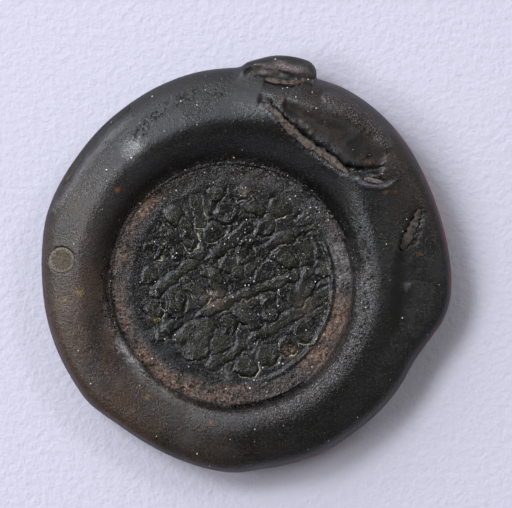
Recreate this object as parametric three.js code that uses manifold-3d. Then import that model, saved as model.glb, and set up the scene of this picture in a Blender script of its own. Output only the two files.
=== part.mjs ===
// A coin weight of dark pressed glass. A soft gather was dropped on a flat plate, flattened, and struck
// off-centre with a round die, which left a sunken field with a raised ring and worn relief inside a fat
// rounded rim. The rim holds a lap fold, a lipped blister, an edge crease, a burst bubble and a nipped tab,
// and burial deposits are lodged in those hollows as bodies of their own.
//
// Lengths are millimetres, +Z is up, and the flat underside lies on z = 0. Everything is laid out in polar
// form round the centre of the die's mark, and the finished group is moved so that the origin is under the
// middle of the whole weight.
import * as THREE from "three";
import { mergeVertices } from "three/addons/utils/BufferGeometryUtils.js";
import Module from "manifold-3d";

const wasm = await Module();
wasm.setup();

// The glass as a whole
const rimRadius = 15; // die centre to the edge, where the outline share is 1
const crestHeight = 5.6; // underside to the highest part of the rim, where the section share is 1
const bellyHeight = 2.3; // underside to the widest part of the flank
const flankHeight = 0.75; // where the flank begins to turn under
const flankInset = 0.2; // how far it has turned in by then
const baseInset = 0.9; // how far the flat underside stays inside the outline

// The die's mark
const fieldHeight = 2.85; // underside to the middle of the sunken field
const tiltDrop = 0.28; // how much lower the border lies on the deep side
const tiltDegrees = -8; // direction of the deep side
const ringRadius = 6.88; // linear ring round the field
const ringWidth = 0.4;
const ringHeight = 0.12;
const borderRadius = 8.2; // outer edge of the plain border
const grooveWidth = 0.24; // groove that the die's edge left at the foot of the wall
const grooveDepth = 0.3;

// The worn relief: what stands above the field, and how deep each mark is rooted in it
const stemSize = { width: 0.66, crown: 0.15, depth: 0.25 };
const leafSize = { width: 1, crown: 0.16, depth: 0.25 };
const pelletSize = { width: 1.3, crown: 0.16, depth: 0.25 };
const plateSize = { width: 3, crown: 0.13, depth: 0.3 };

// Folds and lips of the rim
const overrun = 0.6; // how far a cut reaches above the glass
const hollowSize = { width: 2.2, crown: overrun, depth: 0.42 };
const ridgeSize = { width: 1, crown: 0.1, depth: 0.3 };
const creaseSize = { width: 0.46, crown: overrun, depth: 0.42 };
const lipSize = { width: 0.55, crown: 0.2, depth: 0.3 };

// Deposits, each lodged in a seat of its own shape
const crustClearance = 0.05; // between a deposit and the glass round it
const foldSize = { width: 0.56, crown: 0.05, depth: 0.42 };
const lensSize = { width: 0.36, crown: 0.07, depth: 0.3 };
const edgeSize = { width: 0.5, crown: 0.05, depth: 0.34 };
const bubbleSize = { width: 1.7, crown: 0.05, depth: 0.3 };
const tabCrustSize = { width: 0.44, crown: 0.05, depth: 0.28 };

// The nipped tab
const tabThickness = 2.6;
const tabHeight = 3.05; // underside to the middle of the tab

// Facets
const probe = 0.2; // step over which a slope is measured
const sectors = 80;
const profileSteps = 22;
const beadSides = 6;
const beadSteps = 2; // sections for each stretch between two points of a bead's path
const blisterSides = 8;
const blisterSteps = 5; // odd, so that no ring lies on the glass itself
const tabSteps = 8;

// The outline, as [degrees, share of rimRadius], round the die's centre and without the tab
const outlineShares = [
  [0, 1.002], [10, 1], [20, 1.001], [30, 1.01], [40, 1.025], [50, 1.033], [60, 1.031], [68, 1.015],
  [78, 1], [90, 0.989], [100, 0.981], [110, 0.965], [120, 0.947], [130, 0.933], [140, 0.918],
  [150, 0.911], [160, 0.902], [170, 0.88], [180, 0.865], [190, 0.858], [200, 0.853], [210, 0.848],
  [219, 0.848], [225, 0.835], [231, 0.824], [240, 0.823], [250, 0.831], [260, 0.844], [270, 0.859],
  [280, 0.854], [290, 0.863], [300, 0.872], [310, 0.877], [320, 0.889], [330, 0.897], [336, 0.9],
  [341, 0.917], [346, 0.947], [350, 0.975], [355, 0.995],
];

// Sections of the rim: each column is a place across the band from border to outline, and each row is
// [degrees, depth share of the groove, share of crestHeight by which the outer edge of the groove kicks up,
// height shares of crestHeight at those places]
const bandShares = [0.1, 0.18, 0.3, 0.45, 0.6, 0.75, 0.87, 0.97];
const kickShare = 0.9; // how much of the kick is reached in the middle of the groove
const sectionShares = [
  [0, 0.8, 0, 0.855, 0.878, 0.865, 0.8, 0.742, 0.722, 0.702, 0.62],
  [22, 0.6, 0.02, 0.77, 0.845, 0.883, 0.85, 0.793, 0.768, 0.742, 0.65],
  [45, 0.3, 0.05, 0.65, 0.77, 0.885, 0.95, 0.97, 0.92, 0.85, 0.72],
  [68, 0.1, 0.05, 0.625, 0.7, 0.825, 0.935, 0.995, 0.95, 0.87, 0.73],
  [90, 0, 0.045, 0.62, 0.695, 0.825, 0.905, 0.873, 0.812, 0.745, 0.63],
  [112, 0, 0.04, 0.63, 0.715, 0.845, 0.9, 0.865, 0.795, 0.725, 0.61],
  [135, 0, 0.035, 0.65, 0.745, 0.85, 0.888, 0.848, 0.778, 0.705, 0.6],
  [160, 0, 0.02, 0.655, 0.74, 0.832, 0.86, 0.825, 0.772, 0.715, 0.615],
  [185, 0.1, 0.06, 0.67, 0.725, 0.788, 0.803, 0.782, 0.75, 0.712, 0.625],
  [208, 0.1, 0.15, 0.703, 0.716, 0.734, 0.743, 0.734, 0.71, 0.678, 0.595],
  [230, 0.1, 0.185, 0.716, 0.722, 0.722, 0.716, 0.704, 0.688, 0.66, 0.585],
  [250, 0.3, 0.17, 0.744, 0.747, 0.745, 0.733, 0.712, 0.687, 0.652, 0.575],
  [262, 0.7, 0.09, 0.783, 0.793, 0.795, 0.778, 0.745, 0.71, 0.667, 0.585],
  [277, 1, 0, 0.8, 0.847, 0.858, 0.836, 0.798, 0.755, 0.705, 0.6],
  [300, 0.9, 0, 0.822, 0.869, 0.876, 0.85, 0.808, 0.762, 0.71, 0.6],
  [322, 0.8, 0, 0.832, 0.871, 0.873, 0.842, 0.795, 0.75, 0.702, 0.6],
  [342, 0.8, 0, 0.852, 0.878, 0.87, 0.822, 0.755, 0.728, 0.697, 0.605],
];

// Paths on the rim, as [degrees, share of the band from border to outline]
const foldShares = [
  [80, 0.63], [77, 0.59], [73, 0.5], [68, 0.425], [62, 0.37], [55, 0.365], [48, 0.368], [43.5, 0.385],
];
const hollowShares = [[74.6, 0.677], [64.4, 0.585], [55.4, 0.598], [46.5, 0.625], [40.5, 0.69]];
const ridgeShares = [[64.5, 0.86], [57.1, 0.833], [51.6, 0.84], [46, 0.839], [40.5, 0.826]];
const creaseShares = [[45.8, 0.399], [41.6, 0.464], [38.9, 0.562], [37.8, 0.685]];
const lipShares = [[41.5, 0.397], [37.6, 0.425], [34.3, 0.507], [32.6, 0.627], [32.4, 0.763]];
const lensShares = [[38.8, 0.462], [37.2, 0.505], [35.4, 0.556], [34.2, 0.59]];
const edgeShares = [[11.5, 0.54], [14.2, 0.605], [17, 0.68], [19.6, 0.76], [22, 0.82]];
const tabCrustShares = [[81, 0.89], [77.5, 0.885], [74, 0.895], [71, 0.925]];
const bubbleShare = [171.8, 0.71];

// The tab's outline, as [degrees, share of rimRadius], and the middle that its faces close on
const tabShares = [
  [92, 0.93], [89, 0.985], [84, 1.029], [80, 1.058], [77, 1.071], [73.6, 1.077], [70.6, 1.075],
  [68.8, 1.056], [67.4, 1.018], [66.6, 0.95],
];
const tabMiddleShare = [77, 0.995];

// Rows of the relief, as shares of ringRadius along and across the rows: long stems, then leaves as
// [along, across, degrees, length, width], pellets as [along, across, size] and broad worn plates alike
const rowDegrees = 35; // the rows rise to the right
const stemShares = [
  [[-0.95, 0.04], [-0.5, -0.06], [0, -0.16], [0.56, -0.3]],
  [[-0.62, -0.55], [-0.12, -0.56], [0.3, -0.6], [0.76, -0.62]],
  [[-0.66, 0.36], [-0.3, 0.4], [0.1, 0.34], [0.44, 0.38]],
  [[0.2, 0.02], [0.5, 0.08], [0.9, 0.04]],
];
const leafShares = [
  [-0.24, 0.68, 80, 0.24, 0.8], [-0.07, 0.65, 82, 0.26, 0.8], [0.13, 0.78, 64, 0.2, 0.9],
  [-0.56, 0.18, 58, 0.2, 1], [-0.34, 0.17, 104, 0.2, 1], [-0.12, 0.12, 76, 0.2, 1.1],
  [0.1, 0.12, 112, 0.18, 1], [0.3, 0.2, 44, 0.2, 1.1], [0.62, 0.5, 100, 0.16, 1.1],
  [0.78, -0.14, 62, 0.18, 1.1], [0.58, -0.1, 112, 0.18, 1], [-0.06, -0.36, 100, 0.2, 1.1],
  [0.18, -0.4, 66, 0.2, 1.1], [0.42, -0.44, 100, 0.14, 1.2], [-0.3, -0.33, 34, 0.12, 1.1],
  [0.62, -0.42, 30, 0.16, 1.2], [-0.78, 0.24, 96, 0.14, 1],
];
const pelletShares = [
  [-0.45, 0.72, 1.1], [-0.62, 0.53, 1], [0.36, 0.62, 1.15], [0.14, 0.53, 1], [0.4, 0.84, 0.9],
  [0.6, 0.68, 0.9], [0.82, 0.36, 1.2], [0.6, 0.28, 1.1], [0.94, 0.12, 0.8], [-0.36, -0.76, 1.1],
  [-0.12, -0.78, 1.05], [0.1, -0.82, 1], [0.32, -0.8, 1.25], [0.55, -0.78, 1], [-0.1, 0.9, 0.9],
  [0.8, -0.4, 0.9], [-0.88, 0.02, 0.8], [-0.2, -0.56, 0.7],
];
const plateShares = [[-0.6, -0.22, 1], [-0.1, 0.42, 0.4], [-0.42, -0.4, 0.62]];

const radians = THREE.MathUtils.degToRad;
const up = new THREE.Vector3(0, 0, 1);

// Smooth interpolation, all the way round, of rows that begin with an angle
function rowAt(rows, degrees) {
  const turn = THREE.MathUtils.euclideanModulo(degrees, 360);
  const at = (i) => {
    const wraps = Math.floor(i / rows.length);
    const [start, ...values] = rows[i - wraps * rows.length];
    return { start: start + 360 * wraps, values };
  };
  const i = rows.findLastIndex((row) => row[0] <= turn);
  const [before, from, to, after] = [at(i - 1), at(i), at(i + 1), at(i + 2)];
  const span = to.start - from.start;
  const t = (turn - from.start) / span;
  return from.values.map((value, k) => {
    const next = to.values[k];
    const slopeFrom = ((next - before.values[k]) / (to.start - before.start)) * span;
    const slopeTo = ((after.values[k] - value) / (after.start - from.start)) * span;
    const ease = t * t * (3 - 2 * t);
    return value + (next - value) * ease + slopeFrom * t * (1 - t) ** 2 - slopeTo * t * t * (1 - t);
  });
}

const polar = (degrees, radius, height) =>
  new THREE.Vector3(radius * Math.cos(radians(degrees)), radius * Math.sin(radians(degrees)), height);

const outlineAt = (degrees) => rowAt(outlineShares, degrees)[0] * rimRadius;

const fieldAt = (degrees, radius) =>
  fieldHeight - (tiltDrop * radius * Math.cos(radians(degrees - tiltDegrees))) / borderRadius;

// Half section of the rim at one angle, from the border's edge out, over and under: x is the radius and y
// the height
function rimSection(degrees) {
  const outline = outlineAt(degrees);
  const band = outline - borderRadius;
  const [grooveShare, kick, ...heightShares] = rowAt(sectionShares, degrees);
  const border = fieldAt(degrees, borderRadius);
  const rise = crestHeight * kick;
  const places = [
    [borderRadius, border],
    [borderRadius + grooveWidth / 2, border - grooveDepth * grooveShare + rise * kickShare],
    [borderRadius + grooveWidth, border - (grooveDepth * grooveShare) / 2 + rise],
    ...bandShares.map((share, i) => [borderRadius + band * share, crestHeight * heightShares[i]]),
    [outline, bellyHeight],
    [outline - flankInset, flankHeight],
    [outline - baseInset, 0],
  ];
  const curve = new THREE.CatmullRomCurve3(places.map(([x, y]) => new THREE.Vector3(x, y)));
  return curve.getPoints(profileSteps);
}

// The glass surface at a place in plan: the place itself and the direction that faces out of it
function surfaceAt(plan) {
  const heightAt = (x, y) => {
    const radius = Math.hypot(x, y);
    const degrees = THREE.MathUtils.radToDeg(Math.atan2(y, x));
    if (radius <= borderRadius) return fieldAt(degrees, radius);
    const section = rimSection(degrees);
    const outer = section.findIndex((place) => place.x >= radius);
    const [a, b] = [section[outer - 1], section[outer]];
    return THREE.MathUtils.mapLinear(radius, a.x, b.x, a.y, b.y);
  };
  const slopeX = (heightAt(plan.x + probe, plan.y) - heightAt(plan.x - probe, plan.y)) / (2 * probe);
  const slopeY = (heightAt(plan.x, plan.y + probe) - heightAt(plan.x, plan.y - probe)) / (2 * probe);
  return {
    place: new THREE.Vector3(plan.x, plan.y, heightAt(plan.x, plan.y)),
    out: new THREE.Vector3(-slopeX, -slopeY, 1).normalize(),
  };
}

// Plan of a place given by an angle and a share of the band from border to outline
const onRim = ([degrees, share]) =>
  polar(degrees, THREE.MathUtils.lerp(borderRadius, outlineAt(degrees), share), 0);

// Plan of a place in the field given by shares along and across the rows of the relief
const onField = ([along, across]) =>
  new THREE.Vector3(along, across, 0).multiplyScalar(ringRadius).applyAxisAngle(up, radians(rowDegrees));

// A closed surface from rings of points with the same count, closed by one point at each end
function skin(first, rings, last) {
  const sides = rings[0].length;
  const points = [first, ...rings.flat(), last];
  const index = [];
  const at = (ring, side) => 1 + ring * sides + (side % sides);
  for (let side = 0; side < sides; side += 1) {
    index.push(0, at(0, side), at(0, side + 1));
    for (let ring = 1; ring < rings.length; ring += 1) {
      index.push(at(ring - 1, side), at(ring, side), at(ring, side + 1));
      index.push(at(ring - 1, side), at(ring, side + 1), at(ring - 1, side + 1));
    }
    index.push(at(rings.length - 1, side), points.length - 1, at(rings.length - 1, side + 1));
  }
  return new THREE.BufferGeometry().setFromPoints(points).setIndex(index);
}

// The pressed disc without its folds: rings of the die's mark, then the rim's sections
function pressedDisc() {
  const dieRings = [
    [ringRadius - ringWidth / 2, 0],
    [ringRadius - ringWidth / 6, ringHeight],
    [ringRadius + ringWidth / 6, ringHeight],
    [ringRadius + ringWidth / 2, 0],
  ];
  const angles = Array.from({ length: sectors }, (_, i) => (360 * i) / sectors);
  const sections = angles.map(rimSection);
  const rings = dieRings.map(([radius, lift]) =>
    angles.map((degrees) => polar(degrees, radius, fieldAt(degrees, radius) + lift)),
  );
  for (let step = 0; step <= profileSteps; step += 1) {
    rings.push(angles.map((degrees, i) => polar(degrees, sections[i][step].x, sections[i][step].y)));
  }
  return skin(new THREE.Vector3(0, 0, fieldHeight), rings, new THREE.Vector3());
}

// A place on the skin of a bead or blister, crown above the glass and depth below it, fattened by grow
function crossPlace(surface, across, size, fullness, turn, grow) {
  const rise = Math.sin(turn);
  const lift = rise > 0 ? size.crown : size.depth;
  return surface.place
    .clone()
    .addScaledVector(across, ((size.width / 2) * fullness + grow) * Math.cos(turn))
    .addScaledVector(surface.out, (lift * fullness + grow) * rise);
}

// A bead along a path on the glass, full in the middle and drawn in to a point at each end
function bead(path, size, grow = 0) {
  const curve = new THREE.CatmullRomCurve3(path);
  const steps = beadSteps * path.length;
  const rings = [];
  for (let step = 1; step < steps; step += 1) {
    const t = (1 - Math.cos((Math.PI * step) / steps)) / 2;
    const surface = surfaceAt(curve.getPoint(t));
    const across = curve.getTangent(t).cross(surface.out).normalize();
    const fullness = Math.sqrt(1 - (2 * t - 1) ** 4);
    rings.push(
      Array.from({ length: beadSides }, (_, side) =>
        crossPlace(surface, across, size, fullness, (2 * Math.PI * (side + 1 / 2)) / beadSides, grow),
      ),
    );
  }
  const endAt = (t, side) => {
    const tip = surfaceAt(curve.getPoint(t)).place;
    return tip.addScaledVector(curve.getTangent(t), side * grow);
  };
  return skin(endAt(0, -1), rings, endAt(1, 1));
}

// A round blister or pellet at one place on the glass
function blister(plan, size, grow = 0) {
  const surface = surfaceAt(plan);
  const across = new THREE.Vector3(0, 1, 0).cross(surface.out).normalize();
  const pole = (rise) => crossPlace(surface, across, size, 1, rise * (Math.PI / 2), grow);
  const rings = [];
  for (let step = 1; step < blisterSteps; step += 1) {
    const turn = Math.PI * (step / blisterSteps - 1 / 2);
    rings.push(
      Array.from({ length: blisterSides }, (_, side) => {
        const outward = across.clone().applyAxisAngle(surface.out, (2 * Math.PI * side) / blisterSides);
        return crossPlace(surface, outward, size, 1, turn, grow);
      }),
    );
  }
  return skin(pole(-1), rings.map((ring) => ring.reverse()), pole(1));
}

// The nipped tab: a thin tongue pulled out of the top edge, flat on its faces and round at its edge
function tab() {
  const places = tabShares.map(([degrees, share]) => polar(degrees, share * rimRadius, tabHeight));
  const outline = new THREE.CatmullRomCurve3(places, true).getPoints(3 * places.length).slice(1);
  const middle = polar(tabMiddleShare[0], tabMiddleShare[1] * rimRadius, tabHeight);
  const rings = [];
  for (let step = 1; step < tabSteps; step += 1) {
    const rise = -Math.cos((Math.PI * step) / tabSteps);
    const fullness = (1 - Math.abs(rise) ** 3) ** (1 / 3);
    rings.push(
      outline.map((place) => {
        const edge = middle.clone().lerp(place, fullness);
        return edge.addScaledVector(up, (rise * tabThickness) / 2);
      }),
    );
  }
  const pole = (side) => middle.clone().addScaledVector(up, (side * tabThickness) / 2);
  return skin(pole(-1), rings, pole(1));
}

// A closed geometry as a solid that can be joined and cut
function solidOf(geometry) {
  const bare = new THREE.BufferGeometry();
  bare.setAttribute("position", geometry.getAttribute("position"));
  bare.setIndex(geometry.getIndex());
  const merged = mergeVertices(bare);
  return new wasm.Manifold(
    new wasm.Mesh({
      numProp: 3,
      vertProperties: merged.getAttribute("position").array,
      triVerts: new Uint32Array(merged.getIndex().array),
    }),
  );
}

function meshOf(name, solid, material) {
  const { vertProperties, triVerts } = solid.getMesh();
  const geometry = new THREE.BufferGeometry();
  geometry.setAttribute("position", new THREE.BufferAttribute(vertProperties, 3));
  geometry.setIndex(new THREE.BufferAttribute(triVerts, 1));
  geometry.computeVertexNormals();
  const mesh = new THREE.Mesh(geometry, material);
  mesh.name = name;
  return mesh;
}

// The deposits: each shape gives the body and, fattened by the clearance and open above, its seat
const deposits = [
  { name: "fold_crust", size: foldSize, color: 0x8f8072, path: foldShares },
  { name: "lip_crust", size: lensSize, color: 0xa08c80, path: lensShares },
  { name: "edge_crust", size: edgeSize, color: 0x857768, path: edgeShares },
  { name: "tab_crust", size: tabCrustSize, color: 0x7d6b55, path: tabCrustShares },
  { name: "bubble_crust", size: bubbleSize, color: 0x8a8276, path: [bubbleShare] },
];

const depositShape = (path, size, grow) =>
  path.length > 1 ? bead(path.map(onRim), size, grow) : blister(onRim(path[0]), size, grow);

const joined = [
  ...stemShares.map((path) => bead(path.map(onField), stemSize)),
  ...leafShares.map(([along, across, degrees, length, share]) => {
    const reach = polar(degrees, length / 2, 0);
    const path = [-1, 0, 1].map((side) => onField([along + side * reach.x, across + side * reach.y]));
    return bead(path, { ...leafSize, width: leafSize.width * share });
  }),
  ...pelletShares.map(([along, across, share]) =>
    blister(onField([along, across]), { ...pelletSize, width: pelletSize.width * share }),
  ),
  ...plateShares.map(([along, across, share]) =>
    blister(onField([along, across]), { ...plateSize, width: plateSize.width * share }),
  ),
  bead(ridgeShares.map(onRim), ridgeSize),
  bead(lipShares.map(onRim), lipSize),
  tab(),
];

const cuts = [
  bead(hollowShares.map(onRim), hollowSize),
  bead(creaseShares.map(onRim), creaseSize),
  ...deposits.map(({ path, size }) => depositShape(path, { ...size, crown: overrun }, crustClearance)),
];

let glass = solidOf(pressedDisc());
for (const mark of joined) glass = glass.add(solidOf(mark));
for (const cut of cuts) glass = glass.subtract(solidOf(cut));

const weight = new THREE.Group();
weight.add(
  meshOf(
    "glass_disc",
    glass,
    new THREE.MeshStandardMaterial({ color: 0x2e2d2a, roughness: 0.32, metalness: 0 }),
  ),
);
for (const { name, path, size, color } of deposits) {
  const material = new THREE.MeshStandardMaterial({ color, roughness: 0.9, metalness: 0 });
  weight.add(meshOf(name, solidOf(depositShape(path, size, 0)), material));
}

// The origin is under the middle of the whole weight
const middle = new THREE.Box3().setFromObject(weight).getCenter(new THREE.Vector3());
weight.position.set(-middle.x, -middle.y, 0);

const coinWeight = new THREE.Group();
coinWeight.add(weight);

export default coinWeight;
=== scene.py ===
import math

import bmesh
import bpy
import numpy as np
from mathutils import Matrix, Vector, noise
from mathutils.bvhtree import BVHTree


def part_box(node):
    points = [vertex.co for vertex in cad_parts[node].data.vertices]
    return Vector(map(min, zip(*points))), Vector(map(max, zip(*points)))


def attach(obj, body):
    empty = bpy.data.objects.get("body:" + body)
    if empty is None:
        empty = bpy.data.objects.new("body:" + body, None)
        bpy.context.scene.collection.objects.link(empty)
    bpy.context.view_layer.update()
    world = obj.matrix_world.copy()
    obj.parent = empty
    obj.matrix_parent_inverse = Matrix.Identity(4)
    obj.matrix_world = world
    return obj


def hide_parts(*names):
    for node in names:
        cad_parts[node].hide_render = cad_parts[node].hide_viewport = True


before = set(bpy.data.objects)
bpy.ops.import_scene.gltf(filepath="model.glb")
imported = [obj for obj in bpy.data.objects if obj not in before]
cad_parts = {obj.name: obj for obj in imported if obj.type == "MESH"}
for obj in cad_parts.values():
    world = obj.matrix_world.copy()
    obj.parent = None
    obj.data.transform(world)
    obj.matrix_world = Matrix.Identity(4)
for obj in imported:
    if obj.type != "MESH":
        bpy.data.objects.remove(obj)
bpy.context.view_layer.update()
print("frame loaded")

# The weight's own measures, in millimetres round the centre of the die's mark. The frame says how long a
# millimetre is and where the die's centre lies, so the looks follow the frame's size.
weight = {
    "width": 28.048,
    "dieFromLeft": 13.018,
    "dieFromBottom": 12.882,
    "rimRadius": 15,
    "crestHeight": 5.6,
    "bellyHeight": 2.3,
    "flankHeight": 0.75,
    "flankInset": 0.2,
    "baseInset": 0.9,
    "fieldHeight": 2.85,
    "tiltDrop": 0.28,  # the die went in deeper on one side
    "tiltDegrees": -8,
    "borderRadius": 8.2,
    "grooveWidth": 0.24,
    "grooveDepth": 0.3,
    "kickShare": 0.9,  # how much of its outer edge's kick the groove has in its middle
    "ringRadius": 6.88,
    "rowDegrees": 35,  # the rows of the relief rise to the right
}
glassLow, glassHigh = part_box("glass_disc")
mm = (glassHigh.x - glassLow.x) / weight["width"]
dieCentre = Vector((
    glassLow.x + weight["dieFromLeft"] * mm, glassLow.y + weight["dieFromBottom"] * mm, glassLow.z
))

# [degrees, share of the rim radius] without the tab
outlineShares = [
    [0, 1.002], [10, 1], [20, 1.001], [30, 1.01], [40, 1.025], [50, 1.033], [60, 1.031], [68, 1.015],
    [78, 1], [90, 0.989], [100, 0.981], [110, 0.965], [120, 0.947], [130, 0.933], [140, 0.918],
    [150, 0.911], [160, 0.902], [170, 0.88], [180, 0.865], [190, 0.858], [200, 0.853], [210, 0.848],
    [219, 0.848], [225, 0.835], [231, 0.824], [240, 0.823], [250, 0.831], [260, 0.844], [270, 0.859],
    [280, 0.854], [290, 0.863], [300, 0.872], [310, 0.877], [320, 0.889], [330, 0.897], [336, 0.9],
    [341, 0.917], [346, 0.947], [350, 0.975], [355, 0.995],
]
# how far the nipped tab reaches beyond that outline
tabShares = [
    [0, 0], [55, 0], [64, 0], [67.2, 0], [68.8, 0.042], [70.6, 0.064], [73.6, 0.071], [77, 0.069],
    [80, 0.06], [84, 0.036], [86, 0.024], [88, 0.009], [91, 0], [100, 0], [180, 0], [270, 0],
]
# places across the band from border to outline, and for each angle the depth share of the groove, how far
# its outer edge kicks up as a share of the crest's height, and the height shares at those places
bandShares = [0.1, 0.18, 0.3, 0.45, 0.6, 0.75, 0.87, 0.97]
sectionShares = [
    [0, 0.8, 0.33, 0.81, 0.845, 0.86, 0.808, 0.742, 0.722, 0.702, 0.62],
    [22, 0.6, 0.06, 0.77, 0.84, 0.88, 0.85, 0.793, 0.768, 0.742, 0.65],
    [45, 0.3, 0.03, 0.64, 0.77, 0.885, 0.95, 0.97, 0.92, 0.85, 0.72],
    [68, 0.1, 0.025, 0.6, 0.7, 0.825, 0.935, 0.995, 0.95, 0.87, 0.73],
    [90, 0, 0.015, 0.59, 0.695, 0.825, 0.905, 0.873, 0.812, 0.745, 0.63],
    [112, 0, 0.015, 0.6, 0.715, 0.845, 0.9, 0.865, 0.795, 0.725, 0.61],
    [135, 0, 0.015, 0.62, 0.745, 0.85, 0.888, 0.848, 0.778, 0.705, 0.6],
    [160, 0, 0.015, 0.64, 0.74, 0.832, 0.86, 0.825, 0.772, 0.715, 0.615],
    [185, 0.1, 0.06, 0.67, 0.725, 0.788, 0.803, 0.782, 0.75, 0.712, 0.625],
    [208, 0.1, 0.15, 0.703, 0.716, 0.734, 0.743, 0.734, 0.71, 0.678, 0.595],
    [230, 0.1, 0.185, 0.716, 0.722, 0.722, 0.716, 0.704, 0.688, 0.66, 0.585],
    [250, 0.3, 0.17, 0.744, 0.747, 0.745, 0.733, 0.712, 0.687, 0.652, 0.575],
    [262, 0.7, 0.09, 0.783, 0.793, 0.795, 0.778, 0.745, 0.71, 0.667, 0.585],
    [277, 1, 0, 0.8, 0.847, 0.858, 0.836, 0.798, 0.755, 0.705, 0.6],
    [300, 0.9, 0, 0.822, 0.869, 0.876, 0.85, 0.808, 0.762, 0.71, 0.6],
    [322, 0.8, 0.15, 0.812, 0.858, 0.87, 0.842, 0.795, 0.75, 0.702, 0.6],
    [342, 0.8, 0.28, 0.815, 0.85, 0.865, 0.822, 0.755, 0.728, 0.697, 0.605],
]


def rowAt(rows, degrees):  # smooth, all the way round, between rows that begin with an angle
    turn = degrees % 360
    count = len(rows)
    first = max(k for k in range(count) if rows[k][0] <= turn)
    before, here, there, after = (
        (rows[k % count][0] + 360 * (k // count), np.array(rows[k % count][1:]))
        for k in range(first - 1, first + 3)
    )
    span = there[0] - here[0]
    t = (turn - here[0]) / span
    slopeHere = (there[1] - before[1]) / (there[0] - before[0]) * span
    slopeThere = (after[1] - here[1]) / (after[0] - here[0]) * span
    ease = t * t * (3 - 2 * t)
    return (
        here[1] + (there[1] - here[1]) * ease
        + slopeHere * t * (1 - t) ** 2 - slopeThere * t * t * (1 - t)
    )


def throughPoints(points, steps):  # a smooth line through points, with so many steps from one to the next
    ends = [2 * points[0] - points[1], *points, 2 * points[-1] - points[-2]]
    line = []
    for i, count in enumerate(steps):
        a, b, c, d = ends[i:i + 4]
        da, db, dc = (max(np.linalg.norm(q - p), 1e-9) ** 0.5 for p, q in ((a, b), (b, c), (c, d)))
        slopeB = ((b - a) / da - (c - a) / (da + db) + (c - b) / db) * db
        slopeC = ((c - b) / db - (d - b) / (db + dc) + (d - c) / dc) * db
        for t in (k / count for k in range(count)):
            ease = t * t * (3 - 2 * t)
            line.append(b + (c - b) * ease + slopeB * t * (1 - t) ** 2 - slopeC * t * t * (1 - t))
    line.append(points[-1])
    return np.array(line)


def ramp(value, low, high):  # 0 below low, 1 above high, and eased in between
    t = np.clip((value - low) / (high - low), 0, 1)
    return t * t * (3 - 2 * t)


def fieldAt(degrees, radius):
    lean = np.cos(np.radians(degrees - weight["tiltDegrees"])) * radius / weight["borderRadius"]
    return weight["fieldHeight"] - weight["tiltDrop"] * lean


def outlineAt(degrees):
    return rowAt(outlineShares, degrees)[0] * weight["rimRadius"]


glassRings = [2, 2, 4, 4, 4, 5, 5, 5, 4, 4, 4, 4, 3]  # rings between one place of the section and the next
# The nipped tab, whose section takes over from the rim's outer part. Its face is laid out beyond the outline
# as [share of the tab's reach, offset, height], and its folds in small units from the die's centre.
tab = {
    "rings": [2, 2, 2, 2, 2, 2, 2, 2, 2, 1],
    "least": 0.01, "full": 0.4,  # reach where its section begins to show, and where it shows alone
    "shoulderShare": 0.88, "shoulderDrop": 0.1,
    "rootShare": 0.955, "rootHeight": 4.15,
    "face": [[0.05, 0, 4.4], [0.5, 0, 4.3], [1, -0.12, 3.9], [1, 0, 3.1], [1, -0.22, 2.05], [0, -0.16, 1.55]],
    "foldRise": 0.03, "foldSpacing": 4.2, "foldWander": 1.5,
    "foldRight": 48, "foldUp": 216, "foldSlope": 0.05,  # the middle fold
    "bowRight": 46, "bow": 0.004,  # how the folds bend
}


def sectionAt(degrees):  # from the border's edge out, over and under: radius and height
    outline = outlineAt(degrees)
    border = weight["borderRadius"]
    foot = fieldAt(degrees, border)
    groove, kick, *heights = rowAt(sectionShares, degrees)
    depth = weight["grooveDepth"] * groove
    kick *= weight["crestHeight"]
    places = [
        [border, foot],
        [border + weight["grooveWidth"] / 2, foot - depth + kick * weight["kickShare"]],
        [border + weight["grooveWidth"], foot - depth / 2 + kick],
    ]
    for share, height in zip(bandShares, heights):
        places.append([border + (outline - border) * share, weight["crestHeight"] * height])
    places += [
        [outline, weight["bellyHeight"]],
        [outline - weight["flankInset"], weight["flankHeight"]],
        [outline - weight["baseInset"], 0],
    ]
    line = throughPoints(np.array(places), glassRings)
    reach = max(rowAt(tabShares, degrees)[0], 0) * weight["rimRadius"]
    if reach > tab["least"]:
        start = len(line) - 1 - sum(tab["rings"])
        tabPlaces = [
            line[start],
            [border + (outline - border) * tab["shoulderShare"], line[start + 3][1] - tab["shoulderDrop"]],
            [border + (outline - border) * tab["rootShare"], tab["rootHeight"]],
            *([outline + reach * share + offset, height] for share, offset, height in tab["face"]),
            *places[-2:],
        ]
        tabLine = throughPoints(np.array(tabPlaces), tab["rings"])
        blend = ramp(reach, tab["least"], tab["full"])
        line[start:] = line[start:] * (1 - blend) + tabLine * blend
    return line


# The glass: a grid for the die's mark, then ring after ring drawn out over the wall, the rim and the flank
glass = {
    "cells": 228,  # along each side of the grid
    "underInset": 0.4,  # a narrow ring round the flat underside
    "undulation": 0.05, "undulationLength": 3.4,  # how far the rim swells and sinks
    "dimple": 0.012, "dimpleLength": 0.8,
}
bm = bmesh.new()
bmesh.ops.create_grid(bm, x_segments=glass["cells"], y_segments=glass["cells"], size=1)
for v in bm.verts:  # the square is rounded into a disc
    x, y = v.co.xy
    v.co.x = x * math.sqrt(1 - y * y / 2) * weight["borderRadius"]
    v.co.y = y * math.sqrt(1 - x * x / 2) * weight["borderRadius"]
    v.co.z = fieldAt(math.degrees(math.atan2(v.co.y, v.co.x)), v.co.xy.length)


def goingRound(verts):
    return sorted(verts, key=lambda v: math.atan2(v.co.y, v.co.x))


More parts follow.
